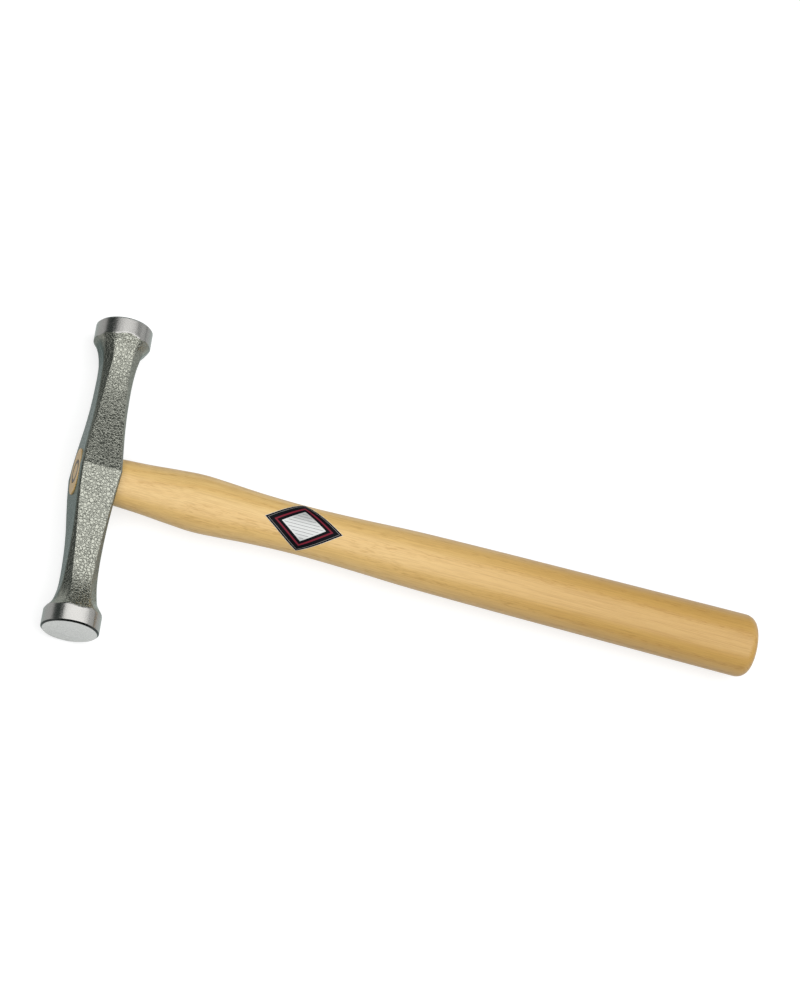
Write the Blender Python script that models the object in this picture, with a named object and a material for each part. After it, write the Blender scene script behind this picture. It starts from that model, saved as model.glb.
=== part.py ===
"""Light two-faced metalworker's hammer: forged head, ash handle, ring wedge and a plain label.

The hammer lies on its side on the ground plane. +X runs along the handle to its butt, +Y to one striking
face, and +Z is the normal of the side that shows. The origin is below the middle of the whole object.
"""

import math

import bmesh
import bpy
import numpy as np
from mathutils import Vector

MM = 0.001

# Driving dimensions of the whole tool
OVERALL_LENGTH = 304.5 * MM
HEAD_LENGTH = 135.5 * MM
RIM_RADIUS = 11.8 * MM
FIT_GAP = 0.3 * MM

# The head's axis, and the height of the handle's axis above the ground
HEAD_X = RIM_RADIUS - OVERALL_LENGTH / 2
AXIS_Z = RIM_RADIUS
HANDLE_REACH = OVERALL_LENGTH - RIM_RADIUS

# Head: an eight-sided forging, widest at the eye, that flares out into two round rims
RIM_BAND = 7.7 * MM
RIM_CHAMFER = 0.7 * MM
ROUNDING_START = 50.0 * MM
CORNERS = 8
POINTS_PER_SIDE = 4
# Each row: distance from the eye's middle, depth to the front, depth to the handle's side,
# half thickness over the cheeks, corner cut
HEAD_OUTLINE = [
    (0.0, 9.5, 7.5, 11.8, 1.0),
    (8.0, 9.05, 7.0, 10.5, 1.1),
    (16.0, 8.35, 6.55, 9.25, 1.2),
    (24.0, 7.6, 6.3, 8.1, 1.4),
    (32.0, 7.15, 6.3, 7.3, 1.8),
    (40.0, 7.0, 6.45, 6.9, 2.3),
    (46.0, 7.05, 6.85, 6.9, 2.9),
    (50.0, 7.3, 7.3, 7.3, 3.4),
    (53.0, 7.9, 7.9, 7.9, 3.9),
    (56.0, 8.9, 8.8, 9.0, 4.7),
    (58.5, 10.2, 10.6, 10.5, 5.7),
    (60.05, 11.6, 11.6, 11.6, 6.8),
]

# Eye: an oval hole along X, a little wider at its two mouths
EYE_HALF_WIDTH = 9.8 * MM
EYE_HALF_THICKNESS = 7.2 * MM
EYE_FLARE = 0.3 * MM
EYE_FRONT = -9.5 * MM
EYE_BACK = 7.5 * MM
EYE_OVERRUN = 3.0 * MM

# Handle: an oval stick. Each row: distance from the head's axis, half width, half thickness
BUTT_ROUND = 4.0 * MM
BUTT_ROUND_LENGTH = 5.0 * MM
HANDLE_POINTS = 32
HANDLE_OUTLINE = [
    (7.5, 9.75, 7.15),
    (20.0, 10.65, 7.9),
    (32.0, 11.7, 8.8),
    (43.0, 12.4, 9.5),
    (53.0, 11.95, 9.45),
    (65.0, 11.15, 9.2),
    (86.0, 10.5, 9.0),
    (110.0, 11.0, 9.5),
    (135.0, 12.05, 10.3),
    (165.0, 12.6, 10.9),
    (200.0, 13.0, 11.3),
    (245.0, 13.45, 11.6),
    (292.7, 13.9, 11.8),
]

# Ring wedge: a tapered round steel ring driven into the tenon's end
WEDGE_RADIUS = 4.7 * MM
WEDGE_WALL = 1.2 * MM
WEDGE_TIP_WALL = 0.5 * MM
WEDGE_DEPTH = 9.0 * MM
WEDGE_STEPS = 32

# Label: a diamond wrapped round the handle's side
LABEL_X = 86.2 * MM
LABEL_SHIFT = -1.6 * MM
LABEL_LENGTH = 34.0 * MM
LABEL_WIDTH = 23.2 * MM
LABEL_THICKNESS = 0.25 * MM
LABEL_SEGMENTS = 10


def clear_scene():
    """Remove every object that the file holds."""
    for item in list(bpy.data.objects):
        bpy.data.objects.remove(item, do_unlink=True)


def material(name, colour, metallic, roughness):
    """Make a Principled material with one colour."""
    made = bpy.data.materials.new(name)
    made.use_nodes = True
    shader = made.node_tree.nodes["Principled BSDF"]
    shader.inputs["Base Color"].default_value = (*colour, 1.0)
    shader.inputs["Metallic"].default_value = metallic
    shader.inputs["Roughness"].default_value = roughness
    return made


def smooth_through(rows, place):
    """Read every column of rows at one place, on a smooth curve through the rows."""
    table = np.array(rows) * MM
    stations = table[:, 0]
    slopes = np.gradient(table[:, 1:], stations, axis=0)
    low = int(np.clip(np.searchsorted(stations, place) - 1, 0, len(stations) - 2))
    span = stations[low + 1] - stations[low]
    t = (place - stations[low]) / span
    start_weight = 2 * t**3 - 3 * t**2 + 1
    start_slope = (t**3 - 2 * t**2 + t) * span
    end_slope = (t**3 - t**2) * span
    return (
        start_weight * table[low, 1:]
        + (1 - start_weight) * table[low + 1, 1:]
        + start_slope * slopes[low]
        + end_slope * slopes[low + 1]
    )


def to_world(along, across, up):
    """Place a point given from the crossing of the head's and the handle's axes."""
    return Vector((HEAD_X + along, across, AXIS_Z + up))


def closed_skin(name, rings):
    """Join closed rings of points, one after another, into one closed shape."""
    shape = bmesh.new()
    loops = []
    for ring in rings:
        corners = [shape.verts.new(point) for point in ring]
        edges = [shape.edges.new((a, b)) for a, b in zip(corners, corners[1:] + corners[:1])]
        loops.append((corners, edges))
    for near, far in zip(loops, loops[1:]):
        bmesh.ops.bridge_loops(shape, edges=near[1] + far[1])
    for corners, _ in (loops[0], loops[-1]):
        shape.faces.new(corners)
    bmesh.ops.recalc_face_normals(shape, faces=shape.faces)
    return finish(name, shape)


def finish(name, shape):
    """Turn a bmesh into a named object in the scene."""
    mesh = bpy.data.meshes.new(name)
    shape.to_mesh(mesh)
    shape.free()
    made = bpy.data.objects.new(name, mesh)
    bpy.context.scene.collection.objects.link(made)
    return made


def cut(piece, cutter):
    """Take the cutter's shape out of a piece and keep the cutter as a hidden guide."""
    cutter.hide_render = True
    cutter.display_type = "WIRE"
    boolean = piece.modifiers.new("cut_" + cutter.name, "BOOLEAN")
    boolean.operation = "DIFFERENCE"
    boolean.solver = "EXACT"
    boolean.object = cutter


def shade(piece, look, angle):
    """Give a piece its material, smooth except at edges sharper than the angle."""
    piece.data.materials.append(look)
    piece.data.shade_smooth()
    piece.data.set_sharp_from_angle(angle=math.radians(angle))


def octagon_corners(front, back, thickness, corner):
    """List the corners of an eight-sided section, starting at the front."""
    flat = thickness - corner
    return [
        Vector((-front, -flat)),
        Vector((-front, flat)),
        Vector((corner - front, thickness)),
        Vector((back - corner, thickness)),
        Vector((back, flat)),
        Vector((back, -flat)),
        Vector((back - corner, -thickness)),
        Vector((corner - front, -thickness)),
    ]


def head_section(place):
    """Points of the head's section at a distance from the eye, eight-sided turning round near the rims."""
    front, back, thickness, corner = smooth_through(HEAD_OUTLINE, place)
    corners = octagon_corners(front, back, thickness, corner)
    rim_start = HEAD_LENGTH / 2 - RIM_BAND
    roundness = max(0.0, (place - ROUNDING_START) / (rim_start - ROUNDING_START))
    circle = rim_section((front + back) / 2)
    section = []
    for side in range(CORNERS):
        start = corners[side]
        end = corners[(side + 1) % CORNERS]
        for step in range(POINTS_PER_SIDE):
            flat = start.lerp(end, step / POINTS_PER_SIDE)
            section.append(flat.lerp(circle[len(section)], roundness))
    return section


def rim_section(radius):
    """Points of a round section with as many points as the eight-sided ones."""
    count = CORNERS * POINTS_PER_SIDE
    angles = [math.radians(202.5 - 360.0 * step / count) for step in range(count)]
    return [Vector((math.cos(angle), math.sin(angle))) * radius for angle in angles]


def make_head(steel):
    """The forging from one striking face to the other, with the oval eye cut through it."""
    half = HEAD_LENGTH / 2
    band = half - RIM_BAND
    stations = [0.0, 8.0, 16.0, 24.0, 32.0, 40.0, 46.0, 50.0, 53.0, 55.5, 57.5, 59.0]
    upper = [(place * MM, head_section(place * MM)) for place in stations]
    upper.append((band, rim_section(RIM_RADIUS)))
    upper.append((half - RIM_CHAMFER, rim_section(RIM_RADIUS)))
    upper.append((half, rim_section(RIM_RADIUS - RIM_CHAMFER)))
    lower = [(-place, section) for place, section in reversed(upper[1:])]
    rings = [[to_world(p.x, place, p.y) for p in section] for place, section in lower + upper]
    head = closed_skin("head", rings)
    cut(head, make_eye_cutter())
    shade(head, steel, 20.0)


def eye_half_sizes(along):
    """Half width and half thickness of the eye at a distance from the head's axis."""
    middle = (EYE_FRONT + EYE_BACK) / 2
    flare = EYE_FLARE * ((along - middle) / (EYE_BACK - middle)) ** 2
    return EYE_HALF_WIDTH + flare, EYE_HALF_THICKNESS + flare


def oval_ring(along, half_width, half_thickness):
    """Points of an oval section across the handle's axis."""
    angles = [2 * math.pi * step / HANDLE_POINTS for step in range(HANDLE_POINTS)]
    return [
        to_world(along, half_width * math.cos(angle), half_thickness * math.sin(angle))
        for angle in angles
    ]


def make_eye_cutter():
    """The space of the eye, longer than the head is deep."""
    places = np.linspace(EYE_FRONT - EYE_OVERRUN, EYE_BACK + EYE_OVERRUN, 7)
    return closed_skin("eye_cutter", [oval_ring(x, *eye_half_sizes(x)) for x in places])


def handle_half_sizes(along):
    """Half width and half thickness of the handle at a distance from the head's axis."""
    if along > HANDLE_OUTLINE[0][0] * MM:
        return smooth_through(HANDLE_OUTLINE, along)
    width, thickness = eye_half_sizes(along)
    return width - FIT_GAP, thickness - FIT_GAP


def make_handle(wood):
    """The ash stick from the tenon's end, through the eye, to the butt with its rounded edge."""
    tenon = np.linspace(EYE_FRONT, EYE_BACK, 6)
    swell = np.linspace(EYE_BACK + 3 * MM, 110 * MM, 18)
    grip = np.linspace(122 * MM, HANDLE_REACH - BUTT_ROUND_LENGTH, 11)
    rings = [oval_ring(x, *handle_half_sizes(x)) for x in (*tenon, *swell, *grip)]
    width, thickness = handle_half_sizes(HANDLE_REACH - BUTT_ROUND_LENGTH)
    for turn in (15.0, 30.0, 45.0, 60.0, 75.0, 90.0):
        inset = BUTT_ROUND * (1 - math.cos(math.radians(turn)))
        x = HANDLE_REACH - BUTT_ROUND_LENGTH * (1 - math.sin(math.radians(turn)))
        rings.append(oval_ring(x, width - inset, thickness - inset))
    handle = closed_skin("handle", rings)
    cut(handle, make_wedge_slot())
    shade(handle, wood, 40.0)


def ring_solid(name, profile):
    """Turn a closed profile of (along, radius) points once round the handle's axis."""
    shape = bmesh.new()
    corners = [shape.verts.new(to_world(along, radius, 0.0)) for along, radius in profile]
    edges = [shape.edges.new((a, b)) for a, b in zip(corners, corners[1:] + corners[:1])]
    bmesh.ops.spin(
        shape,
        geom=corners + edges,
        cent=to_world(0.0, 0.0, 0.0),
        axis=(1.0, 0.0, 0.0),
        angle=2 * math.pi,
        steps=WEDGE_STEPS,
        use_merge=True,
    )
    bmesh.ops.recalc_face_normals(shape, faces=shape.faces)
    return finish(name, shape)


def make_wedge_slot():
    """The ring-shaped slot that the wedge sits in, open at the tenon's end."""
    floor = EYE_FRONT + WEDGE_DEPTH + FIT_GAP
    mouth = EYE_FRONT - 1 * MM
    outer = WEDGE_RADIUS + FIT_GAP
    inner = WEDGE_RADIUS - WEDGE_WALL - FIT_GAP
    tip = outer - WEDGE_TIP_WALL - 2 * FIT_GAP
    return ring_solid("wedge_slot", [(mouth, inner), (mouth, outer), (floor, outer), (floor, tip)])


def make_ring_wedge(steel):
    """The tapered steel ring, flush with the tenon's end."""
    tip = EYE_FRONT + WEDGE_DEPTH
    profile = [
        (EYE_FRONT, WEDGE_RADIUS - WEDGE_WALL),
        (EYE_FRONT, WEDGE_RADIUS),
        (tip, WEDGE_RADIUS),
        (tip, WEDGE_RADIUS - WEDGE_TIP_WALL),
    ]
    shade(ring_solid("ring_wedge", profile), steel, 30.0)


def wrap_on_handle(along, arc, height):
    """Place a point on the handle's side: arc is measured round its surface, height stands off it."""
    half_width, half_thickness = handle_half_sizes(along)
    angles = np.linspace(0.0, math.pi / 2, 60)
    across = half_width * np.sin(angles)
    up = half_thickness * np.cos(angles)
    run = np.concatenate([[0.0], np.cumsum(np.hypot(np.diff(across), np.diff(up)))])
    angle = float(np.interp(abs(arc), run, angles))
    normal = Vector((half_thickness * math.sin(angle), half_width * math.cos(angle))).normalized()
    side = math.copysign(1.0, arc)
    y = side * (half_width * math.sin(angle) + height * normal.x)
    return to_world(along, y, half_thickness * math.cos(angle) + height * normal.y)


def make_label(paper):
    """A diamond sheet of even thickness, wrapped round the side that shows."""
    shape = bmesh.new()
    bmesh.ops.create_grid(shape, x_segments=LABEL_SEGMENTS, y_segments=LABEL_SEGMENTS, size=1.0)
    bmesh.ops.recalc_face_normals(shape, faces=shape.faces)
    bottom = list(shape.verts)
    made = bmesh.ops.extrude_face_region(shape, geom=list(shape.faces), use_keep_orig=True)
    top = [item for item in made["geom"] if isinstance(item, bmesh.types.BMVert)]
    for corners, height in ((bottom, FIT_GAP), (top, FIT_GAP + LABEL_THICKNESS)):
        for corner in corners:
            along = LABEL_X + (corner.co.x + corner.co.y) * LABEL_LENGTH / 4
            arc = LABEL_SHIFT + (corner.co.x - corner.co.y) * LABEL_WIDTH / 4
            corner.co = wrap_on_handle(along, arc, height)
    bmesh.ops.recalc_face_normals(shape, faces=shape.faces)
    shade(finish("label", shape), paper, 40.0)


def main():
    clear_scene()
    make_head(material("forged_steel", (0.27, 0.29, 0.27), 0.6, 0.45))
    make_handle(material("ash_wood", (0.78, 0.56, 0.27), 0.0, 0.45))
    make_ring_wedge(material("wedge_steel", (0.18, 0.17, 0.16), 0.9, 0.5))
    make_label(material("label_paper", (0.03, 0.03, 0.035), 0.0, 0.35))


main()
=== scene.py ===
"""Looks of a light two-faced metalworker's hammer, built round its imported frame.

Laid out as an add-on: sizes and colours are properties, every piece has an operator, and one panel in the
3D view's sidebar lists them all. Run as a script, it makes the whole hammer and its studio.
"""

import math

import bmesh
import bpy
import numpy as np
from mathutils import Matrix, Vector


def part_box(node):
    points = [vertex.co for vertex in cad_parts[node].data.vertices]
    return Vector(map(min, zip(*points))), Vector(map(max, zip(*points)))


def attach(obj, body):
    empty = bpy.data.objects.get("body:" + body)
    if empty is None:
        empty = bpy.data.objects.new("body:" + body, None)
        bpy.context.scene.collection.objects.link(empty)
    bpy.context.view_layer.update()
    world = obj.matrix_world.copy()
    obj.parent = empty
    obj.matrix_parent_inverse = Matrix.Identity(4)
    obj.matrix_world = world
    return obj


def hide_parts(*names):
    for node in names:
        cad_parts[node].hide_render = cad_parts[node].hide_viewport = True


bl_info = {
    "name": "Two-faced hammer",
    "version": (1, 0, 0),
    "blender": (4, 5, 0),
    "location": "3D View > Sidebar > Hammer",
    "description": "Builds a forged hammer with polished faces on an ash handle, and a plain studio",
    "category": "Add Mesh",
}

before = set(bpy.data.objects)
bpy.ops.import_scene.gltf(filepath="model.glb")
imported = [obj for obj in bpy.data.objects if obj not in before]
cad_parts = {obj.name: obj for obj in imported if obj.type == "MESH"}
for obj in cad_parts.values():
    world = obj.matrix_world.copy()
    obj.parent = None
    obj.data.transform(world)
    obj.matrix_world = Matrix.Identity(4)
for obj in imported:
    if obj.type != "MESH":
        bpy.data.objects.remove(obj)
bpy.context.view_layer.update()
MM = 0.001

# Places read from the frame: the head's and the handle's axes cross at EYE
HEAD_LOW, HEAD_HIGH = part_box("head")
HANDLE_LOW, HANDLE_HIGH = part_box("handle")
EYE = (HEAD_LOW + HEAD_HIGH) / 2
RIM_RADIUS = (HEAD_HIGH.z - HEAD_LOW.z) / 2
HEAD_HALF = (HEAD_HIGH.y - HEAD_LOW.y) / 2
TENON_FRONT = HANDLE_LOW.x - EYE.x
BUTT_END = HANDLE_HIGH.x - EYE.x

# Head outline, in mm. Each row: distance from the eye's middle, depth to the front, depth to the
# handle's side, half thickness over the cheeks, corner cut
HEAD_OUTLINE = [
    (0.0, 9.5, 7.5, 11.8, 0.8),
    (8.0, 9.05, 7.0, 10.5, 0.9),
    (16.0, 8.35, 6.55, 9.25, 1.05),
    (24.0, 7.6, 6.3, 8.1, 1.3),
    (32.0, 7.15, 6.3, 7.3, 1.8),
    (40.0, 7.0, 6.45, 6.9, 2.3),
    (46.0, 7.05, 6.85, 6.9, 2.9),
    (50.0, 7.3, 7.3, 7.3, 3.4),
    (53.0, 7.9, 7.9, 7.9, 3.9),
    (56.0, 8.9, 8.8, 9.0, 4.7),
    (58.5, 10.2, 10.6, 10.3, 5.6),
    (60.0, 11.5, 11.6, 11.3, 6.5),
    (61.8, 13.0, 13.0, 12.4, 7.2),
]

# Along the head, from the eye's middle: the trim to the rim's radius, the flare, and the bare turned steel
TRIM_START = 40 * MM
FLARE_START = 50 * MM
FLARE_END = 60 * MM
BARE_CORNERS = 57.0 * MM
BARE_RIM = 61.4 * MM
PAINT_EDGE = 0.2 * MM

# How the meshes are divided and rounded
FILLET_POINTS = 5
FLAT_SHARES = (0.015, 0.08, 0.25, 0.5, 0.75, 0.92, 0.985)
ROUND_POINTS = 96
HEAD_SHARP_ANGLE = 24.0
RIDGE_FADE = 4 * MM
LONGEST_FILLET_SHARE = 0.42

# Finishes: turned lines on the steel, and growth rings in the wood
LINES_PER_METRE = 9000.0
RING_SPACING = 3.1 * MM

# Handle outline, in mm. Each row: distance from the head's axis, half width, half thickness
HANDLE_OUTLINE = [
    (7.5, 9.95, 7.35),
    (20.0, 10.65, 7.9),
    (32.0, 11.7, 8.8),
    (43.0, 12.4, 9.5),
    (53.0, 11.95, 9.45),
    (65.0, 11.15, 9.2),
    (86.0, 10.5, 9.0),
    (110.0, 11.0, 9.5),
    (135.0, 12.05, 10.3),
    (165.0, 12.6, 10.9),
    (200.0, 13.0, 11.3),
    (245.0, 13.45, 11.6),
    (292.7, 13.9, 11.8),
]
EYE_BACK = HANDLE_OUTLINE[0][0] * MM
TENON_EDGE = 0.2 * MM


class HammerSizes(bpy.types.PropertyGroup):
    """Small sizes of the finish, which the frame doesn't hold."""

    fillet: bpy.props.FloatProperty(
        name="Corner fillet",
        description="Length along a flat that a forged corner's rounding takes",
        default=0.45 * MM,
        subtype="DISTANCE",
    )
    rim_fillet: bpy.props.FloatProperty(
        name="Fillet at the rim",
        description="How much the corners' rounding has grown where the forging meets the turned rim",
        default=2.2 * MM,
        subtype="DISTANCE",
    )
    ridge: bpy.props.FloatProperty(
        name="Ridge rounding",
        description="Half width of the rounding of the ridge across the cheeks",
        default=0.3 * MM,
        subtype="DISTANCE",
    )
    rim_edge: bpy.props.FloatProperty(
        name="Rim edge",
        description="Width of the small chamfer round each striking face",
        default=0.7 * MM,
        subtype="DISTANCE",
    )
    eye_width: bpy.props.FloatProperty(
        name="Eye half width",
        description="Half the eye's width along the head",
        default=9.8 * MM,
        subtype="DISTANCE",
    )
    eye_thickness: bpy.props.FloatProperty(
        name="Eye half thickness",
        description="Half the eye's width across the cheeks",
        default=7.2 * MM,
        subtype="DISTANCE",
    )
    eye_flare: bpy.props.FloatProperty(
        name="Eye flare",
        description="How much wider the eye is at its mouths",
        default=0.3 * MM,
        subtype="DISTANCE",
    )
    wood_gap: bpy.props.FloatProperty(
        name="Wood gap",
        description="Thin dark gap between the wood and the steel that it is wedged into",
        default=0.1 * MM,
        subtype="DISTANCE",
    )
    butt_round: bpy.props.FloatProperty(
        name="Butt rounding",
        description="How far the sanded rounding of the handle's end reaches in from its side",
        default=4.0 * MM,
        subtype="DISTANCE",
    )
    butt_length: bpy.props.FloatProperty(
        name="Butt rounding length",
        description="How far the same rounding reaches along the handle",
        default=5.0 * MM,
        subtype="DISTANCE",
    )
    wedge_gap: bpy.props.FloatProperty(
        name="Wedge gap",
        description="Gap that the driven wedge has opened in the wood round it",
        default=0.3 * MM,
        subtype="DISTANCE",
    )
    wedge_radius: bpy.props.FloatProperty(
        name="Wedge radius",
        description="Outer radius of the ring wedge",
        default=4.7 * MM,
        subtype="DISTANCE",
    )
    wedge_wall: bpy.props.FloatProperty(
        name="Wedge wall",
        description="Wall of the ring wedge at the tenon's end",
        default=1.2 * MM,
        subtype="DISTANCE",
    )
    wedge_depth: bpy.props.FloatProperty(
        name="Wedge depth",
        description="How far the ring wedge is driven in",
        default=9.0 * MM,
        subtype="DISTANCE",
    )
    label_x: bpy.props.FloatProperty(
        name="Label place",
        description="Distance of the label's middle from the head's axis",
        default=86.2 * MM,
        subtype="DISTANCE",
    )
    label_shift: bpy.props.FloatProperty(
        name="Label shift",
        description="How far the label's middle is moved round the handle",
        default=-1.6 * MM,
        subtype="DISTANCE",
    )
    label_length: bpy.props.FloatProperty(
        name="Label length",
        description="Long diagonal of the label, along the handle",
        default=34.0 * MM,
        subtype="DISTANCE",
    )
    label_width: bpy.props.FloatProperty(
        name="Label width",
        description="Short diagonal of the label, round the handle",
        default=23.2 * MM,
        subtype="DISTANCE",
    )
    label_thickness: bpy.props.FloatProperty(
        name="Label thickness",
        description="Thickness of the paper",
        default=0.12 * MM,
        subtype="DISTANCE",
    )


class HammerColours(bpy.types.PropertyGroup):
    """Main colours of the finishes, linear RGB."""

    paint: bpy.props.FloatVectorProperty(
        name="Paint",
        description="Grey-green metallic paint of the head",
        default=(0.355, 0.360, 0.312),
        subtype="COLOR",
    )
    # Painted shade: darker paint for the front and back facets, standing in for the dim surroundings they
    # reflect
    facet_shade_paint: bpy.props.FloatVectorProperty(
        name="Facet paint with painted shade",
        description="The same paint darkened on the front and back facets as painted shade of their dim reflection",
        default=(0.058, 0.078, 0.069),
        subtype="COLOR",
    )
    steel: bpy.props.FloatVectorProperty(
        name="Polished steel",
        description="Polished steel of the two striking faces",
        default=(0.82, 0.795, 0.785),
        subtype="COLOR",
    )
    # Partly painted shade: the rims' steel colour is set darker to stand in for the dim floor they reflect,
    # as well as for their turned finish
    ground_steel_and_shade: bpy.props.FloatVectorProperty(
        name="Ground steel",
        description="Turned and ground steel of the rims",
        default=(0.42, 0.41, 0.395),
        subtype="COLOR",
    )
    wood: bpy.props.FloatVectorProperty(
        name="Wood",
        description="Pale latewood of the ash handle",
        default=(0.76, 0.52, 0.205),
        subtype="COLOR",
    )
    pore: bpy.props.FloatVectorProperty(
        name="Pores",
        description="Open pores of the ash",
        default=(0.48, 0.26, 0.07),
        subtype="COLOR",
    )
    label: bpy.props.FloatVectorProperty(
        name="Label ground",
        description="Dark ground of the label",
        default=(0.004, 0.004, 0.006),
        subtype="COLOR",
    )
    label_frame: bpy.props.FloatVectorProperty(
        name="Label frame",
        description="Thin frame round the label's middle",
        default=(0.19, 0.02, 0.035),
        subtype="COLOR",
    )


class StageSettings(bpy.types.PropertyGroup):
    """Camera, floor and light."""

    azimuth: bpy.props.FloatProperty(
        name="Azimuth",
        description="Turn of the view about the vertical",
        default=math.radians(-33.42),
        subtype="ANGLE",
    )
    elevation: bpy.props.FloatProperty(
        name="Elevation",
        description="Height of the view over the ground",
        default=math.radians(61.277),
        subtype="ANGLE",
    )
    roll: bpy.props.FloatProperty(
        name="Roll",
        description="Turn of the camera about its own axis",
        default=math.radians(45.006),
        subtype="ANGLE",
    )
    distance: bpy.props.FloatProperty(
        name="Distance",
        description="Distance of the camera from its aim",
        default=1.3,
        subtype="DISTANCE",
    )
    aim: bpy.props.FloatVectorProperty(
        name="Aim",
        description="Point that the camera looks at, from the crossing of the two axes",
        default=(0.1162, 0.0084, 0.0389),
        subtype="XYZ",
    )
    lens: bpy.props.FloatProperty(
        name="Lens",
        description="Focal length for a 36 mm long side, in mm",
        default=116.15,
    )
    floor: bpy.props.FloatVectorProperty(
        name="Floor",
        description="Pale floor",
        default=(0.40, 0.40, 0.40),
        subtype="COLOR",
    )
    floor_glow: bpy.props.FloatProperty(
        name="Floor glow",
        description="Light that the floor gives off where the camera sees it",
        default=0.7,
    )
    floor_fill: bpy.props.FloatProperty(
        name="Floor fill",
        description="Light that the floor throws back onto the hammer",
        default=0.28,
    )
    softbox: bpy.props.FloatProperty(
        name="Softbox",
        description="Power of the large light overhead, in watts",
        default=58.0,
    )
    side_card: bpy.props.FloatProperty(
        name="Side card",
        description="Power of the dim card beside the handle, in watts",
        default=4.0,
    )


def smooth_through(rows, place):
    """Read every column of rows at one place, on a smooth curve through the rows, in metres."""
    table = np.array(rows) * MM
    stations = table[:, 0]
    slopes = np.gradient(table[:, 1:], stations, axis=0)
    low = int(np.clip(np.searchsorted(stations, place) - 1, 0, len(stations) - 2))
    span = stations[low + 1] - stations[low]
    t = (place - stations[low]) / span
    start_weight = 2 * t**3 - 3 * t**2 + 1
    start_slope = (t**3 - 2 * t**2 + t) * span
    end_slope = (t**3 - t**2) * span
    return (
        start_weight * table[low, 1:]
        + (1 - start_weight) * table[low + 1, 1:]
        + start_slope * slopes[low]
        + end_slope * slopes[low + 1]
    )


def finish_piece(name, shape, node, angle):
    """Turn a bmesh into a smooth-shaded piece that rides on the hammer and stands for a CAD node."""
    bmesh.ops.remove_doubles(shape, verts=shape.verts, dist=0.001 * MM)
    bmesh.ops.recalc_face_normals(shape, faces=shape.faces)
    mesh = bpy.data.meshes.new(name)
    shape.to_mesh(mesh)
    shape.free()
    mesh.shade_smooth()
    mesh.set_sharp_from_angle(angle=math.radians(angle))
    piece = bpy.data.objects.new(name, mesh)
    bpy.context.scene.collection.objects.link(piece)
    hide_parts(node)
    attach(piece, "root")
    return piece


def start_ring(shape, points):
    """Start a tube with a circle of as many points, moved to their places."""
    made = bmesh.ops.create_circle(shape, cap_ends=False, segments=len(points), radius=1.0)
    ring = list(made["verts"])
    for corner, point in zip(ring, points):
        corner.co = point
    return ring


def next_ring(shape, ring, points):
    """Extrude the tube's open end and move the new ring to its places."""
    inside = set(ring)
    edges = {edge for corner in ring for edge in corner.link_edges if edge.other_vert(corner) in inside}
    made = bmesh.ops.extrude_edge_only(shape, edges=list(edges))
    fresh = {item for item in made["geom"] if isinstance(item, bmesh.types.BMVert)}
    following = []
    for corner, point in zip(ring, points):
        pair = [edge.other_vert(corner) for edge in corner.link_edges if edge.other_vert(corner) in fresh]
        pair[0].co = point
        following.append(pair[0])
    return following


def close_ring(shape, ring):
    """Close a small last ring to one point."""
    centre = sum((corner.co for corner in ring), Vector()) / len(ring)
    bmesh.ops.pointmerge(shape, verts=ring, merge_co=centre)


# ---------------------------------------------------------------- head


def head_corners(front, back, thickness, cut):
    """Corners of the eight-sided section as (x, z), starting low at the front."""
    flat = thickness - cut
    return [
        Vector((-front, -flat)),
        Vector((-front, flat)),
        Vector((cut - front, thickness)),
        Vector((back - cut, thickness)),
        Vector((back, flat)),
        Vector((back, -flat)),
        Vector((back - cut, -thickness)),
        Vector((cut - front, -thickness)),
    ]


def filleted(corners, fillet):
    """Points round a section whose corners are rounded, and how near each one is to a corner."""
    points = []
    for index, corner in enumerate(corners):
        following = corners[(index + 1) % len(corners)]
        before = corners[index - 1] - corner
        after = following - corner
        longest = LONGEST_FILLET_SHARE * after.length
        reach = min(fillet, LONGEST_FILLET_SHARE * before.length, longest)
        start = corner + before.normalized() * reach
        end = corner + after.normalized() * reach
        for step in range(FILLET_POINTS):
            t = step / (FILLET_POINTS - 1)
            bend = start * (1 - t) ** 2 + corner * 2 * t * (1 - t) + end * t**2
            points.append((bend, 1.0 - abs(2 * t - 1) ** 2))
        stop = following - after.normalized() * min(fillet, longest)
        for share in FLAT_SHARES:
            points.append((end.lerp(stop, share), 0.0))
    return points


def smooth_step(share):
    """Ease from 0 to 1."""
    share = min(max(share, 0.0), 1.0)
    return share * share * (3 - 2 * share)


def head_ring(place, sizes):
    """Section of the forging at a distance from the eye, cut to the turned rim's radius near the rim."""
    eased = math.sqrt(place**2 + sizes.ridge**2) - sizes.ridge * math.exp(-place / RIDGE_FADE)
    front, back, thickness, cut = smooth_through(HEAD_OUTLINE, max(eased, 0.0))
    points = []
    grown = sizes.fillet + sizes.rim_fillet * smooth_step((place - FLARE_START) / (FLARE_END - FLARE_START))
    for point, corner in filleted(head_corners(front, back, thickness, cut), grown):
        radius = point.length
        if place > TRIM_START and radius > RIM_RADIUS:
            point = point * (RIM_RADIUS / radius)
            corner = 0.0
        points.append((point, corner))
    return points


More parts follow.
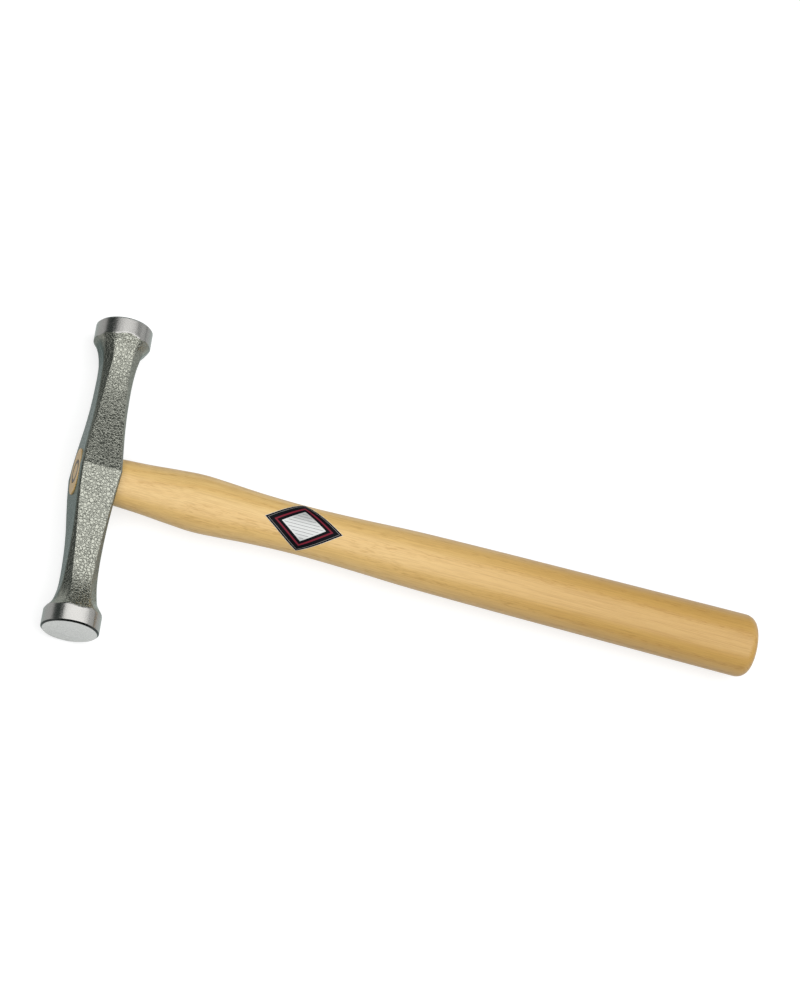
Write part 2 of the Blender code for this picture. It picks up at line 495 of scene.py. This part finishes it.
def make_head(sizes):
    """Half of the forging, from the ridge at the eye to the striking face, its mirror image, and the eye."""
    shape = bmesh.new()
    worn = shape.verts.layers.float.new("corner")
    # Stations in mm, close together at the ridge and over the flare
    stations = [0.0, 0.3, 0.7, 1.2, 2.0, *np.arange(3.4, 48.0, 1.4), *np.arange(48.0, 61.9, 0.35)]
    stations = [place * MM for place in stations]
    rings = [(place, head_ring(place, sizes)) for place in stations]
    edge = sizes.rim_edge
    round_rim = rings[-1][1]
    for place in np.linspace(stations[-1], HEAD_HALF - edge, 5)[1:]:
        rings.append((place, round_rim))
    rings.append((HEAD_HALF, [(p * (1 - edge / RIM_RADIUS), 0.0) for p, _ in round_rim]))
    for share in (0.9, 0.65, 0.4, 0.15):
        rings.append((HEAD_HALF, [(p * share, 0.0) for p, _ in round_rim]))
    ring = None
    for place, section in rings:
        points = [Vector((EYE.x + p.x, EYE.y + place, EYE.z + p.y)) for p, _ in section]
        ring = next_ring(shape, ring, points) if ring else start_ring(shape, points)
        for corner, (_, near) in zip(ring, section):
            corner[worn] = near
    close_ring(shape, ring)
    bmesh.ops.mirror(
        shape,
        geom=shape.verts[:] + shape.edges[:] + shape.faces[:],
        matrix=Matrix.Translation((0.0, -EYE.y, 0.0)),
        merge_dist=0.01 * MM,
        axis="Y",
    )
    head = finish_piece("forged_head", shape, "head", HEAD_SHARP_ANGLE)
    cut_eye(head, sizes)
    return head


def eye_half_sizes(along, sizes):
    """Half width and half thickness of the eye at a distance from the head's axis."""
    middle = (TENON_FRONT + EYE_BACK) / 2
    flare = sizes.eye_flare * ((along - middle) / (EYE_BACK - middle)) ** 2
    return sizes.eye_width + flare, sizes.eye_thickness + flare


def oval_points(along, half_width, half_thickness):
    """Points of an oval across the handle's axis."""
    angles = [2 * math.pi * step / ROUND_POINTS for step in range(ROUND_POINTS)]
    return [
        EYE + Vector((along, half_width * math.cos(angle), half_thickness * math.sin(angle)))
        for angle in angles
    ]


def cut_eye(head, sizes):
    """Cut the oval eye through the head and keep the result as its mesh."""
    shape = bmesh.new()
    ring = None
    for along in np.linspace(TENON_FRONT - 3 * MM, EYE_BACK + 3 * MM, 12):
        points = oval_points(along, *eye_half_sizes(along, sizes))
        ring = next_ring(shape, ring, points) if ring else start_ring(shape, points)
    bmesh.ops.holes_fill(shape, edges=shape.edges, sides=0)
    bmesh.ops.recalc_face_normals(shape, faces=shape.faces)
    mesh = bpy.data.meshes.new("eye_cutter")
    shape.to_mesh(mesh)
    shape.free()
    cutter = bpy.data.objects.new("eye_cutter", mesh)
    bpy.context.scene.collection.objects.link(cutter)
    boolean = head.modifiers.new("eye", "BOOLEAN")
    boolean.operation = "DIFFERENCE"
    boolean.solver = "EXACT"
    boolean.object = cutter
    bpy.context.view_layer.update()
    graph = bpy.context.evaluated_depsgraph_get()
    cut = bpy.data.meshes.new_from_object(head.evaluated_get(graph), depsgraph=graph)
    head.modifiers.clear()
    head.data = cut
    head.data.name = "forged_head"
    bpy.data.objects.remove(cutter)
    head.data.shade_smooth()
    head.data.set_sharp_from_angle(angle=math.radians(HEAD_SHARP_ANGLE))


# -------------------------------------------------------------- handle


def handle_half_sizes(along, sizes):
    """Half width and half thickness of the handle at a distance from the head's axis."""
    if along > EYE_BACK:
        return smooth_through(HANDLE_OUTLINE, along)
    width, thickness = eye_half_sizes(along, sizes)
    return width - sizes.wood_gap, thickness - sizes.wood_gap


def make_handle(sizes):
    """The ash stick: butt, grip, waist, swell and tenon, with the wedge's slot in the tenon's end."""
    shape = bmesh.new()
    width, thickness = handle_half_sizes(BUTT_END - sizes.butt_length, sizes)
    rings = []
    for share in (0.12, 0.35, 0.6, 0.82):
        rings.append((BUTT_END, (width - sizes.butt_round) * share, (thickness - sizes.butt_round) * share))
    for turn in (90.0, 78.0, 66.0, 54.0, 42.0, 30.0, 18.0, 8.0):
        inset = sizes.butt_round * (1 - math.cos(math.radians(turn)))
        along = BUTT_END - sizes.butt_length * (1 - math.sin(math.radians(turn)))
        rings.append((along, width - inset, thickness - inset))
    for along in np.linspace(BUTT_END - sizes.butt_length, EYE_BACK + 1 * MM, 130):
        rings.append((along, *handle_half_sizes(along, sizes)))
    for along in np.linspace(EYE_BACK, TENON_FRONT + TENON_EDGE, 12):
        rings.append((along, *handle_half_sizes(along, sizes)))
    rings.append((TENON_FRONT, rings[-1][1] - TENON_EDGE, rings[-1][2] - TENON_EDGE))
    outer = sizes.wedge_radius + sizes.wedge_gap
    inner = sizes.wedge_radius - sizes.wedge_wall - sizes.wood_gap
    floor = TENON_FRONT + sizes.wedge_depth + sizes.wood_gap
    last = rings[-1]
    rings.append((TENON_FRONT, (last[1] + outer) / 2, (last[2] + outer) / 2))
    for along, radius in ((TENON_FRONT, outer), (floor, outer), (floor, inner)):
        rings.append((along, radius, radius))
    for share in (1.0, 0.6, 0.2):
        rings.append((TENON_FRONT, inner * share, inner * share))
    ring = None
    for along, half_width, half_thickness in rings:
        points = oval_points(along, half_width, half_thickness)
        if ring is None:
            ring = start_ring(shape, points)
            first = list(ring)
        else:
            ring = next_ring(shape, ring, points)
    close_ring(shape, ring)
    close_ring(shape, first)
    return finish_piece("ash_handle", shape, "handle", 35.0)


# ---------------------------------------------------------- ring wedge


def make_ring_wedge(sizes):
    """The tapered steel ring, turned from its section with softened edges."""
    shape = bmesh.new()
    front = TENON_FRONT - 0.05 * MM
    tip = TENON_FRONT + sizes.wedge_depth
    radius = sizes.wedge_radius
    wall = sizes.wedge_wall
    section = [
        (front, radius - wall),
        (front, radius),
        (tip, radius - 0.1 * MM),
        (tip, radius - wall * 0.7),
    ]
    corners = [shape.verts.new(EYE + Vector((along, out, 0.0))) for along, out in section]
    for pair in zip(corners, corners[1:] + corners[:1]):
        shape.edges.new(pair)
    bmesh.ops.bevel(
        shape,
        geom=corners,
        offset=0.12 * MM,
        segments=2,
        profile=0.5,
        affect="VERTICES",
        material=-1,
    )
    bmesh.ops.spin(
        shape,
        geom=shape.verts[:] + shape.edges[:],
        cent=EYE,
        axis=(1.0, 0.0, 0.0),
        angle=2 * math.pi,
        steps=ROUND_POINTS,
        use_merge=True,
    )
    return finish_piece("ring_wedge_steel", shape, "ring_wedge", 35.0)


# --------------------------------------------------------------- label


def wrap_on_handle(along, arc, height, sizes):
    """Place a point on the handle's side: arc is measured round its surface, height stands off it."""
    half_width, half_thickness = handle_half_sizes(along, sizes)
    angles = np.linspace(0.0, math.pi / 2, 120)
    across = half_width * np.sin(angles)
    up = half_thickness * np.cos(angles)
    run = np.concatenate([[0.0], np.cumsum(np.hypot(np.diff(across), np.diff(up)))])
    angle = float(np.interp(abs(arc), run, angles))
    normal = Vector((half_thickness * math.sin(angle), half_width * math.cos(angle))).normalized()
    side = math.copysign(1.0, arc)
    y = side * (half_width * math.sin(angle) + height * normal.x)
    return EYE + Vector((along, y, half_thickness * math.cos(angle) + height * normal.y))


def make_label(sizes):
    """A diamond of paper, cut as a grid, wrapped round the handle's side and given its thickness."""
    shape = bmesh.new()
    bmesh.ops.create_grid(shape, x_segments=44, y_segments=44, size=1.0, calc_uvs=True)
    plan = shape.loops.layers.uv.verify()
    bmesh.ops.recalc_face_normals(shape, faces=shape.faces)
    for face in shape.faces:
        for loop in face.loops:
            loop[plan].uv = ((loop.vert.co.x + loop.vert.co.y) / 2, (loop.vert.co.x - loop.vert.co.y) / 2)
    bottom = list(shape.verts)
    made = bmesh.ops.extrude_face_region(shape, geom=list(shape.faces), use_keep_orig=True)
    top = [item for item in made["geom"] if isinstance(item, bmesh.types.BMVert)]
    lift = 0.03 * MM
    for corners, height in ((bottom, lift), (top, lift + sizes.label_thickness)):
        for corner in corners:
            along = sizes.label_x + (corner.co.x + corner.co.y) * sizes.label_length / 4
            arc = sizes.label_shift + (corner.co.x - corner.co.y) * sizes.label_width / 4
            corner.co = wrap_on_handle(along, arc, height, sizes)
    return finish_piece("paper_label", shape, "label", 40.0)


# ----------------------------------------------------------- materials


def new_material(name):
    """An empty node material and its Principled shader."""
    made = bpy.data.materials.new(name)
    made.use_nodes = True
    return made, made.node_tree, made.node_tree.nodes["Principled BSDF"]


def add(tree, kind, inputs=None, **settings):
    """Add a node, set its properties, and give its inputs values or links."""
    node = tree.nodes.new(kind)
    for name, value in settings.items():
        setattr(node, name, value)
    for name, value in (inputs or {}).items():
        if isinstance(value, bpy.types.NodeSocket):
            tree.links.new(value, node.inputs[name])
        else:
            node.inputs[name].default_value = value
    return node


def calc(tree, operation, first, second=0.0):
    """A Math node's output."""
    return add(tree, "ShaderNodeMath", {0: first, 1: second}, operation=operation).outputs[0]


def vector_calc(tree, operation, first, second):
    """A Vector Math node's output."""
    return add(tree, "ShaderNodeVectorMath", {0: first, 1: second}, operation=operation).outputs[0]


def times(tree, first, second):
    """Two values multiplied."""
    return calc(tree, "MULTIPLY", first, second)


def length(tree, vector):
    """A vector's length."""
    return add(tree, "ShaderNodeVectorMath", {0: vector}, operation="LENGTH").outputs["Value"]


def split(tree, vector):
    """A vector's X, Y and Z outputs."""
    return add(tree, "ShaderNodeSeparateXYZ", {0: vector}).outputs


def drift(tree, vector, scale, detail, reach):
    """A wandering offset of up to half of reach each way."""
    inputs = {"Vector": vector, "Scale": scale, "Detail": detail}
    colour = add(tree, "ShaderNodeTexNoise", inputs).outputs["Color"]
    centred = vector_calc(tree, "SUBTRACT", colour, (0.5, 0.5, 0.5))
    return add(tree, "ShaderNodeVectorMath", {0: centred, "Scale": reach}, operation="SCALE").outputs[0]


def bump_from(tree, height, shader, strength=1.0):
    """Feed a height in metres to the shader's normal."""
    bump = add(tree, "ShaderNodeBump", {"Height": height, "Strength": strength, "Distance": 1.0})
    tree.links.new(bump.outputs["Normal"], shader.inputs["Normal"])


def fade(tree, value, low, high, start=0.0, end=1.0):
    """A value smoothly mapped from the range low to high onto start to end."""
    inputs = {"Value": value, "From Min": low, "From Max": high, "To Min": start, "To Max": end}
    return add(tree, "ShaderNodeMapRange", inputs, interpolation_type="SMOOTHSTEP").outputs["Result"]


def stripe(tree, value, low, high, soft):
    """1 between low and high, with soft edges just inside them."""
    return times(tree, fade(tree, value, low, low + soft), fade(tree, value, high - soft, high, 1.0, 0.0))


def tinted(colour, *factors):
    """A colour times one factor, or times one for each channel."""
    if len(factors) == 1:
        factors = factors * 3
    return tuple(factor * channel for factor, channel in zip(factors, colour))


def blend(tree, factor, first, second, mode="MIX"):
    """Two colours mixed by a factor."""
    node = add(tree, "ShaderNodeMix", data_type="RGBA", blend_type=mode)
    for socket, value in ((node.inputs["Factor"], factor), (node.inputs[6], first), (node.inputs[7], second)):
        if isinstance(value, bpy.types.NodeSocket):
            tree.links.new(value, socket)
        else:
            socket.default_value = value if isinstance(value, float) else (*value[:3], 1.0)
    return node.outputs[2]


def mix_value(tree, factor, first, second):
    """Two values mixed by a factor."""
    return add(tree, "ShaderNodeMix", {0: factor, 2: first, 3: second}, data_type="FLOAT").outputs[0]


def noise(tree, vector, scale, detail=2.0, roughness=0.5):
    """A noise texture's value."""
    inputs = {"Vector": vector, "Scale": scale, "Detail": detail, "Roughness": roughness}
    return add(tree, "ShaderNodeTexNoise", inputs).outputs["Fac"]


def placed(tree, scale=(1.0, 1.0, 1.0), origin=(0.0, 0.0, 0.0)):
    """Object coordinates measured from an origin and stretched."""
    source = add(tree, "ShaderNodeTexCoord").outputs["Object"]
    return vector_calc(tree, "MULTIPLY", vector_calc(tree, "SUBTRACT", source, origin), scale)


def group(name, inputs, outputs):
    """A new node group with float or vector sockets, and its input and output nodes."""
    tree = bpy.data.node_groups.new(name, "ShaderNodeTree")
    for socket, kind in inputs:
        tree.interface.new_socket(socket, in_out="INPUT", socket_type=kind)
    for socket, kind in outputs:
        tree.interface.new_socket(socket, in_out="OUTPUT", socket_type=kind)
    return tree, tree.nodes.new("NodeGroupInput"), tree.nodes.new("NodeGroupOutput")


def grinding_marks():
    """Group: fine turned lines round an axis of the given coordinates, as height and as dulling."""
    found = bpy.data.node_groups.get("grinding_marks")
    if found:
        return found
    tree, source, target = group(
        "grinding_marks",
        [("Along", "NodeSocketFloat"), ("Radius", "NodeSocketFloat"), ("Vector", "NodeSocketVector")],
        [("Height", "NodeSocketFloat"), ("Dull", "NodeSocketFloat")],
    )
    across_lines = times(tree, source.outputs["Along"], LINES_PER_METRE)
    round_lines = times(tree, source.outputs["Radius"], LINES_PER_METRE)
    lines_at = add(tree, "ShaderNodeCombineXYZ", {"X": across_lines, "Y": round_lines}).outputs[0]
    lines = noise(tree, lines_at, 1.0, 3.0, 0.7)
    cloud = noise(tree, source.outputs["Vector"], 260.0, 3.0, 0.6)
    tree.links.new(lines, target.inputs["Height"])
    tree.links.new(times(tree, cloud, lines), target.inputs["Dull"])
    return tree


def marked(tree, along, radius, at):
    """The grinding marks in a material: their Height and Dull outputs."""
    inputs = {"Along": along, "Radius": radius, "Vector": at}
    return add(tree, "ShaderNodeGroup", inputs, node_tree=grinding_marks()).outputs


def head_material(colours):
    """Hammertone paint over the forging, with bare turned steel on the rims and faces."""
    made, tree, shader = new_material("hammertone_and_steel")
    at = placed(tree, origin=EYE)
    radius = length(tree, vector_calc(tree, "MULTIPLY", at, (1.0, 0.0, 1.0)))
    along = calc(tree, "ABSOLUTE", split(tree, at)["Y"])

    # Bare steel where turning has cut the flare's corners, and all round the rim; the paint's edge is ragged
    ragged = times(tree, calc(tree, "SUBTRACT", noise(tree, at, 900.0), 0.5), 0.12 * MM)
    out = calc(tree, "ADD", radius, ragged)
    trimmed = fade(tree, out, RIM_RADIUS - 0.12 * MM, RIM_RADIUS - 0.04 * MM)
    past_flare = fade(tree, along, BARE_CORNERS, BARE_CORNERS + PAINT_EDGE)
    on_rim = fade(tree, along, BARE_RIM, BARE_RIM + PAINT_EDGE)
    bare = calc(tree, "MAXIMUM", times(tree, trimmed, past_flare), on_rim)

    # Hammertone relief: low domes of about a millimetre, parted by crooked grooves
    bent = vector_calc(tree, "ADD", at, drift(tree, at, 1100.0, 1.0, 1.8 * MM))
    inputs = {"Vector": bent, "Scale": 800.0, "Randomness": 1.0}
    cells = add(tree, "ShaderNodeTexVoronoi", inputs, feature="DISTANCE_TO_EDGE").outputs["Distance"]
    lumps = times(tree, fade(tree, cells, 0.0, 0.19), 0.75)
    relief = calc(tree, "ADD", lumps, times(tree, noise(tree, at, 1700.0, 2.0, 0.6), 0.3))
    groove = fade(tree, cells, 0.02, 0.12, 1.0, 0.0)

    # The relief is lower on the front and back facets than over the cheeks, and their paint is darkened by
    # the way they face, a painted shade of the dim surroundings they reflect
    facing = add(tree, "ShaderNodeNewGeometry").outputs["Normal"]
    facing = add(tree, "ShaderNodeVectorTransform", {0: facing}, vector_type="NORMAL", convert_to="OBJECT")
    sideways = calc(tree, "ABSOLUTE", split(tree, facing.outputs[0])["X"])
    smooth = fade(tree, sideways, 0.3, 0.6)
    painted_facet_shade = fade(tree, sideways, 0.6, 0.98)
    # Painted shade: the paint is darkened in the grooves between the domes, where the recesses would be in
    # shade
    paint = blend(tree, groove, colours.paint, tinted(colours.paint, 0.68))
    # Painted shade: facets facing the front or the back take the darker paint
    paint = blend(tree, painted_facet_shade, paint, colours.facet_shade_paint)
    corner = add(tree, "ShaderNodeAttribute", attribute_name="corner").outputs["Fac"]
    patchy = fade(tree, noise(tree, at, 180.0, 4.0, 0.65), 0.45, 0.75)
    wear = times(tree, fade(tree, corner, 0.35, 1.0), patchy)
    paint = blend(tree, times(tree, wear, 0.45), paint, tinted(colours.paint, 1.5))

    # Steel: polished on the face, turned round the rim, and painted dark along the chamfer between them as a
    # painted reflection of the dark room
    marks = marked(tree, along, radius, at)
    on_face = fade(tree, along, HEAD_HALF - 0.05 * MM, HEAD_HALF - 0.01 * MM)
    # The rim's darker steel is partly its turned finish and partly painted shade of its dim reflections
    steel = blend(tree, on_face, colours.ground_steel_and_shade, colours.steel)
    steel = blend(tree, times(tree, marks["Dull"], 0.25), steel, (0.28, 0.28, 0.27))
    near_face = fade(tree, along, HEAD_HALF - 0.72 * MM, HEAD_HALF - 0.64 * MM)
    near_rim = fade(tree, radius, RIM_RADIUS - 0.72 * MM, RIM_RADIUS - 0.66 * MM)
    painted_dark_chamfer = times(tree, near_face, near_rim)
    # Painted reflection: the chamfer's colour is darkened to stand in for the dark room that it reflects
    steel = blend(tree, times(tree, painted_dark_chamfer, 0.9), steel, (0.02, 0.025, 0.025))

    tree.links.new(blend(tree, bare, paint, steel), shader.inputs["Base Color"])
    tree.links.new(mix_value(tree, bare, 0.9, 1.0), shader.inputs["Metallic"])
    shader.inputs["Specular Tint"].default_value = (0.9, 1.0, 0.975, 1.0)
    rough_paint = calc(tree, "ADD", times(tree, groove, 0.12), 0.17)
    rough_steel = calc(tree, "ADD", times(tree, marks["Dull"], 0.12), 0.24)
    tree.links.new(mix_value(tree, bare, rough_paint, rough_steel), shader.inputs["Roughness"])
    left = calc(tree, "SUBTRACT", 1.0, times(tree, smooth, 0.7))
    lump_height = times(tree, times(tree, relief, left), 0.135 * MM)
    mark_height = times(tree, marks["Height"], 0.002 * MM)
    bump_from(tree, mix_value(tree, bare, lump_height, mark_height), shader)
    return made


def wood_material(colours):
    """Ash under clear lacquer: growth rings round a pith outside the stick, pores and fibres along it."""
    made, tree, shader = new_material("lacquered_ash")

    # Growth rings, drawn out along the handle: porous earlywood at the start of each one
    wander = drift(tree, placed(tree, scale=(0.10, 1.0, 1.0), origin=EYE), 55.0, 3.0, 7.0 * MM)
    pith = EYE + Vector((0.0, 24.0, -46.0)) * MM
    section = vector_calc(tree, "ADD", placed(tree, scale=(0.012, 1.0, 1.0), origin=pith), wander)
    phase = calc(tree, "FRACT", calc(tree, "DIVIDE", length(tree, section), RING_SPACING))
    early = calc(tree, "MAXIMUM", fade(tree, phase, 0.0, 0.42, 1.0, 0.0), fade(tree, phase, 0.93, 1.0))
    fibre = noise(tree, placed(tree, scale=(0.012, 1.0, 1.0), origin=EYE), 2600.0, 3.0, 0.6)
    streak = noise(tree, placed(tree, scale=(0.03, 1.0, 1.0), origin=EYE), 420.0, 2.0, 0.5)
    dashes = noise(tree, placed(tree, scale=(0.13, 1.0, 1.0), origin=EYE), 2000.0, 1.0, 0.4)
    pores = times(tree, fade(tree, dashes, 0.53, 0.66), fade(tree, early, -0.35, 0.7))
    cloud = noise(tree, placed(tree, scale=(0.25, 1.0, 1.0), origin=EYE), 35.0, 2.0)

    light = colours.wood
    early_tone = tinted(light, 0.90, 0.82, 0.68)
    tone = blend(tree, times(tree, early, 0.62), light, early_tone)
    tone = blend(tree, fade(tree, streak, 0.35, 0.75, 0.0, 0.7), tone, early_tone)
    tone = blend(tree, fade(tree, cloud, 0.3, 0.7, 0.0, 0.8), tone, tinted(light, 0.97, 0.92, 0.84))
    tone = blend(tree, fade(tree, fibre, 0.42, 0.66, 0.0, 0.7), tone, tinted(light, 0.8, 0.72, 0.6))
    tone = blend(tree, times(tree, pores, 0.36), tone, colours.pore)

    # Colour made darker and a deeper yellow towards the butt
    from_head = split(tree, placed(tree, origin=EYE))["X"]
    tone = blend(tree, fade(tree, from_head, 90 * MM, 260 * MM), tone, (0.78, 0.70, 0.50), "MULTIPLY")
    tree.links.new(tone, shader.inputs["Base Color"])
    tree.links.new(fade(tree, fibre, 0.2, 0.8, 0.38, 0.5), shader.inputs["Roughness"])
    coat = calc(tree, "SUBTRACT", 0.45, times(tree, pores, 0.3))
    tree.links.new(coat, shader.inputs["Coat Weight"])
    shader.inputs["Coat Roughness"].default_value = 0.28
    sunk = calc(tree, "ADD", times(tree, pores, -0.05 * MM), times(tree, fibre, 0.012 * MM))
    bump_from(tree, sunk, shader, 0.8)
    return made


def wedge_material(colours):
    """Dark bare steel with turned lines and a little rust."""
    made, tree, shader = new_material("wedge_steel")
    at = placed(tree, origin=EYE)
    radius = length(tree, vector_calc(tree, "MULTIPLY", at, (0.0, 1.0, 1.0)))
    marks = marked(tree, split(tree, at)["X"], radius, at)
    rust = fade(tree, noise(tree, at, 700.0, 4.0, 0.6), 0.5, 0.75, 0.0, 0.6)
    dark = tinted(colours.steel, 0.15)
    tone = blend(tree, marks["Dull"], dark, tinted(dark, 0.6))
    tree.links.new(blend(tree, rust, tone, (0.09, 0.05, 0.03)), shader.inputs["Base Color"])
    tree.links.new(fade(tree, rust, 0.0, 0.6, 1.0, 0.5), shader.inputs["Metallic"])
    tree.links.new(fade(tree, marks["Dull"], 0.1, 0.6, 0.35, 0.55), shader.inputs["Roughness"])
    bump_from(tree, times(tree, marks["Height"], 0.01 * MM), shader)
    return made


def label_material(colours):
    """Printed gloss paper: a silver diamond, a thin frame and a pale edge line on a dark ground."""
    made, tree, shader = new_material("printed_label")
    plan = add(tree, "ShaderNodeUVMap").outputs["UV"]
    parts = split(tree, plan)
    diamond = calc(tree, "ADD", calc(tree, "ABSOLUTE", parts["X"]), calc(tree, "ABSOLUTE", parts["Y"]))
    panel = fade(tree, diamond, 0.560, 0.568, 1.0, 0.0)
    frame_line = stripe(tree, diamond, 0.68, 0.76, 0.01)
    edge_line = stripe(tree, diamond, 0.905, 0.923, 0.003)
    cut_edge = fade(tree, diamond, 0.987, 0.991)
    rule = calc(tree, "FRACT", times(tree, calc(tree, "ADD", parts["Y"], 1.0), 9.0))
    rules = times(tree, fade(tree, rule, 0.84, 0.90), fade(tree, diamond, 0.50, 0.51, 1.0, 0.0))
    print_grain = noise(tree, plan, 90.0, 3.0, 0.6)
    silver = blend(tree, print_grain, (0.50, 0.51, 0.51), (0.66, 0.66, 0.65))
    silver = blend(tree, times(tree, rules, 0.85), silver, (0.06, 0.06, 0.065))
    ground = blend(tree, print_grain, colours.label, tinted(colours.label, 1.6))
    tone = blend(tree, panel, ground, silver)
    tone = blend(tree, frame_line, tone, colours.label_frame)
    tone = blend(tree, edge_line, tone, (0.26, 0.26, 0.26))
    tone = blend(tree, cut_edge, tone, (0.80, 0.79, 0.76))
    tree.links.new(tone, shader.inputs["Base Color"])
    tree.links.new(fade(tree, print_grain, 0.3, 0.7, 0.3, 0.42), shader.inputs["Roughness"])
    tree.links.new(times(tree, panel, 0.3), shader.inputs["Metallic"])
    shader.inputs["Specular IOR Level"].default_value = 0.03
    bump_from(tree, times(tree, print_grain, 0.004 * MM), shader)
    return made


# --------------------------------------------------------------- stage

# Each light's place, size and aim, and the colour of the dim room in reflections
SOFTBOX = ((0.2, -0.35, 1.5), (3.7, 2.5), (0.2, -0.35, 0.0))
SIDE_CARD = ((2.0, 0.8, 0.75), (1.6, 1.1), tuple(EYE))
ROOM_COLOUR = (0.032, 0.044, 0.04)


def make_floor(stage):
    """A wide pale floor, level with what the hammer lies on."""
    shape = bmesh.new()
    bmesh.ops.create_grid(shape, x_segments=1, y_segments=1, size=2.5)
    mesh = bpy.data.meshes.new("floor")
    shape.to_mesh(mesh)
    shape.free()
    floor = bpy.data.objects.new("floor", mesh)
    bpy.context.scene.collection.objects.link(floor)
    made, tree, shader = new_material("pale_floor")
    soft = noise(tree, placed(tree), 4.0, 2.0)
    dim = tuple(0.985 * c for c in stage.floor)
    tree.links.new(blend(tree, soft, stage.floor, dim), shader.inputs["Base Color"])
    shader.inputs["Roughness"].default_value = 0.7
    shader.inputs["Specular IOR Level"].default_value = 0.1
    shader.inputs["Emission Color"].default_value = (1.0, 1.0, 1.0, 1.0)
    seen = add(tree, "ShaderNodeLightPath").outputs["Is Camera Ray"]
    glow = mix_value(tree, seen, stage.floor_fill, stage.floor_glow)
    tree.links.new(glow, shader.inputs["Emission Strength"])
    floor.data.materials.append(made)


def make_light(name, power, place, size, aim):
    """A soft rectangular light that faces a point."""
    data = bpy.data.lights.new(name, "AREA")
    data.shape = "RECTANGLE"
    data.size = size[0]
    data.size_y = size[1]
    data.energy = power
    light = bpy.data.objects.new(name, data)
    light.location = place
    light.rotation_euler = (Vector(place) - Vector(aim)).to_track_quat("Z", "Y").to_euler()
    bpy.context.scene.collection.objects.link(light)


def make_world():
    """A dim room for reflections, pale where the camera sees it."""
    world = bpy.data.worlds.new("studio")
    world.use_nodes = True
    bpy.context.scene.world = world
    tree = world.node_tree
    background = tree.nodes["Background"]
    seen = add(tree, "ShaderNodeLightPath").outputs["Is Camera Ray"]
    tree.links.new(blend(tree, seen, ROOM_COLOUR, (1.0, 1.0, 1.0)), background.inputs["Color"])


def make_camera(stage):
    """The camera, turned about its own axis so that the handle runs down to the right."""
    data = bpy.data.cameras.new("camera")
    data.lens = stage.lens
    data.clip_start = 0.05
    data.clip_end = 50.0
    level = math.cos(stage.elevation)
    back = Vector(
        (
            math.sin(stage.azimuth) * level,
            -math.cos(stage.azimuth) * level,
            math.sin(stage.elevation),
        )
    )
    camera = bpy.data.objects.new("camera", data)
    turn = back.to_track_quat("Z", "Y").to_matrix() @ Matrix.Rotation(stage.roll, 3, "Z")
    camera.matrix_world = Matrix.Translation(EYE + Vector(stage.aim) + back * stage.distance) @ turn.to_4x4()
    bpy.context.scene.collection.objects.link(camera)
    bpy.context.scene.camera = camera


# ----------------------------------------------------------- operators


class HAMMER_OT_head(bpy.types.Operator):
    """Make the forged head with its eye, rims and finishes"""

    bl_idname = "hammer.head"
    bl_label = "Forged head"

    def execute(self, context):
        piece = make_head(context.scene.hammer_sizes)
        piece.data.materials.clear()
        piece.data.materials.append(head_material(context.scene.hammer_colours))
        return {"FINISHED"}


class HAMMER_OT_handle(bpy.types.Operator):
    """Make the ash handle with its tenon"""

    bl_idname = "hammer.handle"
    bl_label = "Ash handle"

    def execute(self, context):
        piece = make_handle(context.scene.hammer_sizes)
        piece.data.materials.append(wood_material(context.scene.hammer_colours))
        return {"FINISHED"}


class HAMMER_OT_ring_wedge(bpy.types.Operator):
    """Make the steel ring wedge in the tenon's end"""

    bl_idname = "hammer.ring_wedge"
    bl_label = "Ring wedge"

    def execute(self, context):
        piece = make_ring_wedge(context.scene.hammer_sizes)
        piece.data.materials.append(wedge_material(context.scene.hammer_colours))
        return {"FINISHED"}


class HAMMER_OT_label(bpy.types.Operator):
    """Make the paper label on the handle's side"""

    bl_idname = "hammer.label"
    bl_label = "Paper label"

    def execute(self, context):
        piece = make_label(context.scene.hammer_sizes)
        piece.data.materials.append(label_material(context.scene.hammer_colours))
        return {"FINISHED"}


class HAMMER_OT_stage(bpy.types.Operator):
    """Make the floor, the lights, the world and the camera"""

    bl_idname = "hammer.stage"
    bl_label = "Studio"

    def execute(self, context):
        stage = context.scene.hammer_stage
        context.scene.view_settings.view_transform = "Standard"
        make_floor(stage)
        make_light("softbox", stage.softbox, *SOFTBOX)
        make_light("side_card", stage.side_card, *SIDE_CARD)
        make_world()
        make_camera(stage)
        return {"FINISHED"}


class HAMMER_PT_panel(bpy.types.Panel):
    """Lists the hammer's pieces, sizes and colours"""

    bl_idname = "HAMMER_PT_panel"
    bl_label = "Hammer"
    bl_space_type = "VIEW_3D"
    bl_region_type = "UI"
    bl_category = "Hammer"

    def draw(self, context):
        for operator in OPERATORS:
            self.layout.operator(operator.bl_idname)
        for title, settings_name in zip(("Sizes", "Colours", "Studio"), [name for name, _ in GROUPS]):
            box = self.layout.box()
            box.label(text=title)
            settings = getattr(context.scene, settings_name)
            for name in settings.__annotations__:
                box.prop(settings, name)


GROUPS = (("hammer_sizes", HammerSizes), ("hammer_colours", HammerColours), ("hammer_stage", StageSettings))
OPERATORS = (HAMMER_OT_head, HAMMER_OT_handle, HAMMER_OT_ring_wedge, HAMMER_OT_label, HAMMER_OT_stage)


def register():
    """Add the settings, the operators and the panel to Blender."""
    for name, kind in GROUPS:
        bpy.utils.register_class(kind)
        setattr(bpy.types.Scene, name, bpy.props.PointerProperty(type=kind))
    for kind in (*OPERATORS, HAMMER_PT_panel):
        bpy.utils.register_class(kind)


def unregister():
    """Take them out again."""
    for kind in (HAMMER_PT_panel, *reversed(OPERATORS)):
        bpy.utils.unregister_class(kind)
    for name, kind in reversed(GROUPS):
        delattr(bpy.types.Scene, name)
        bpy.utils.unregister_class(kind)


def main():
    """Make the hammer and its studio."""
    register()
    bpy.ops.hammer.head()
    bpy.ops.hammer.handle()
    bpy.ops.hammer.ring_wedge()
    bpy.ops.hammer.label()
    bpy.ops.hammer.stage()


if __name__ == "__main__":
    main()
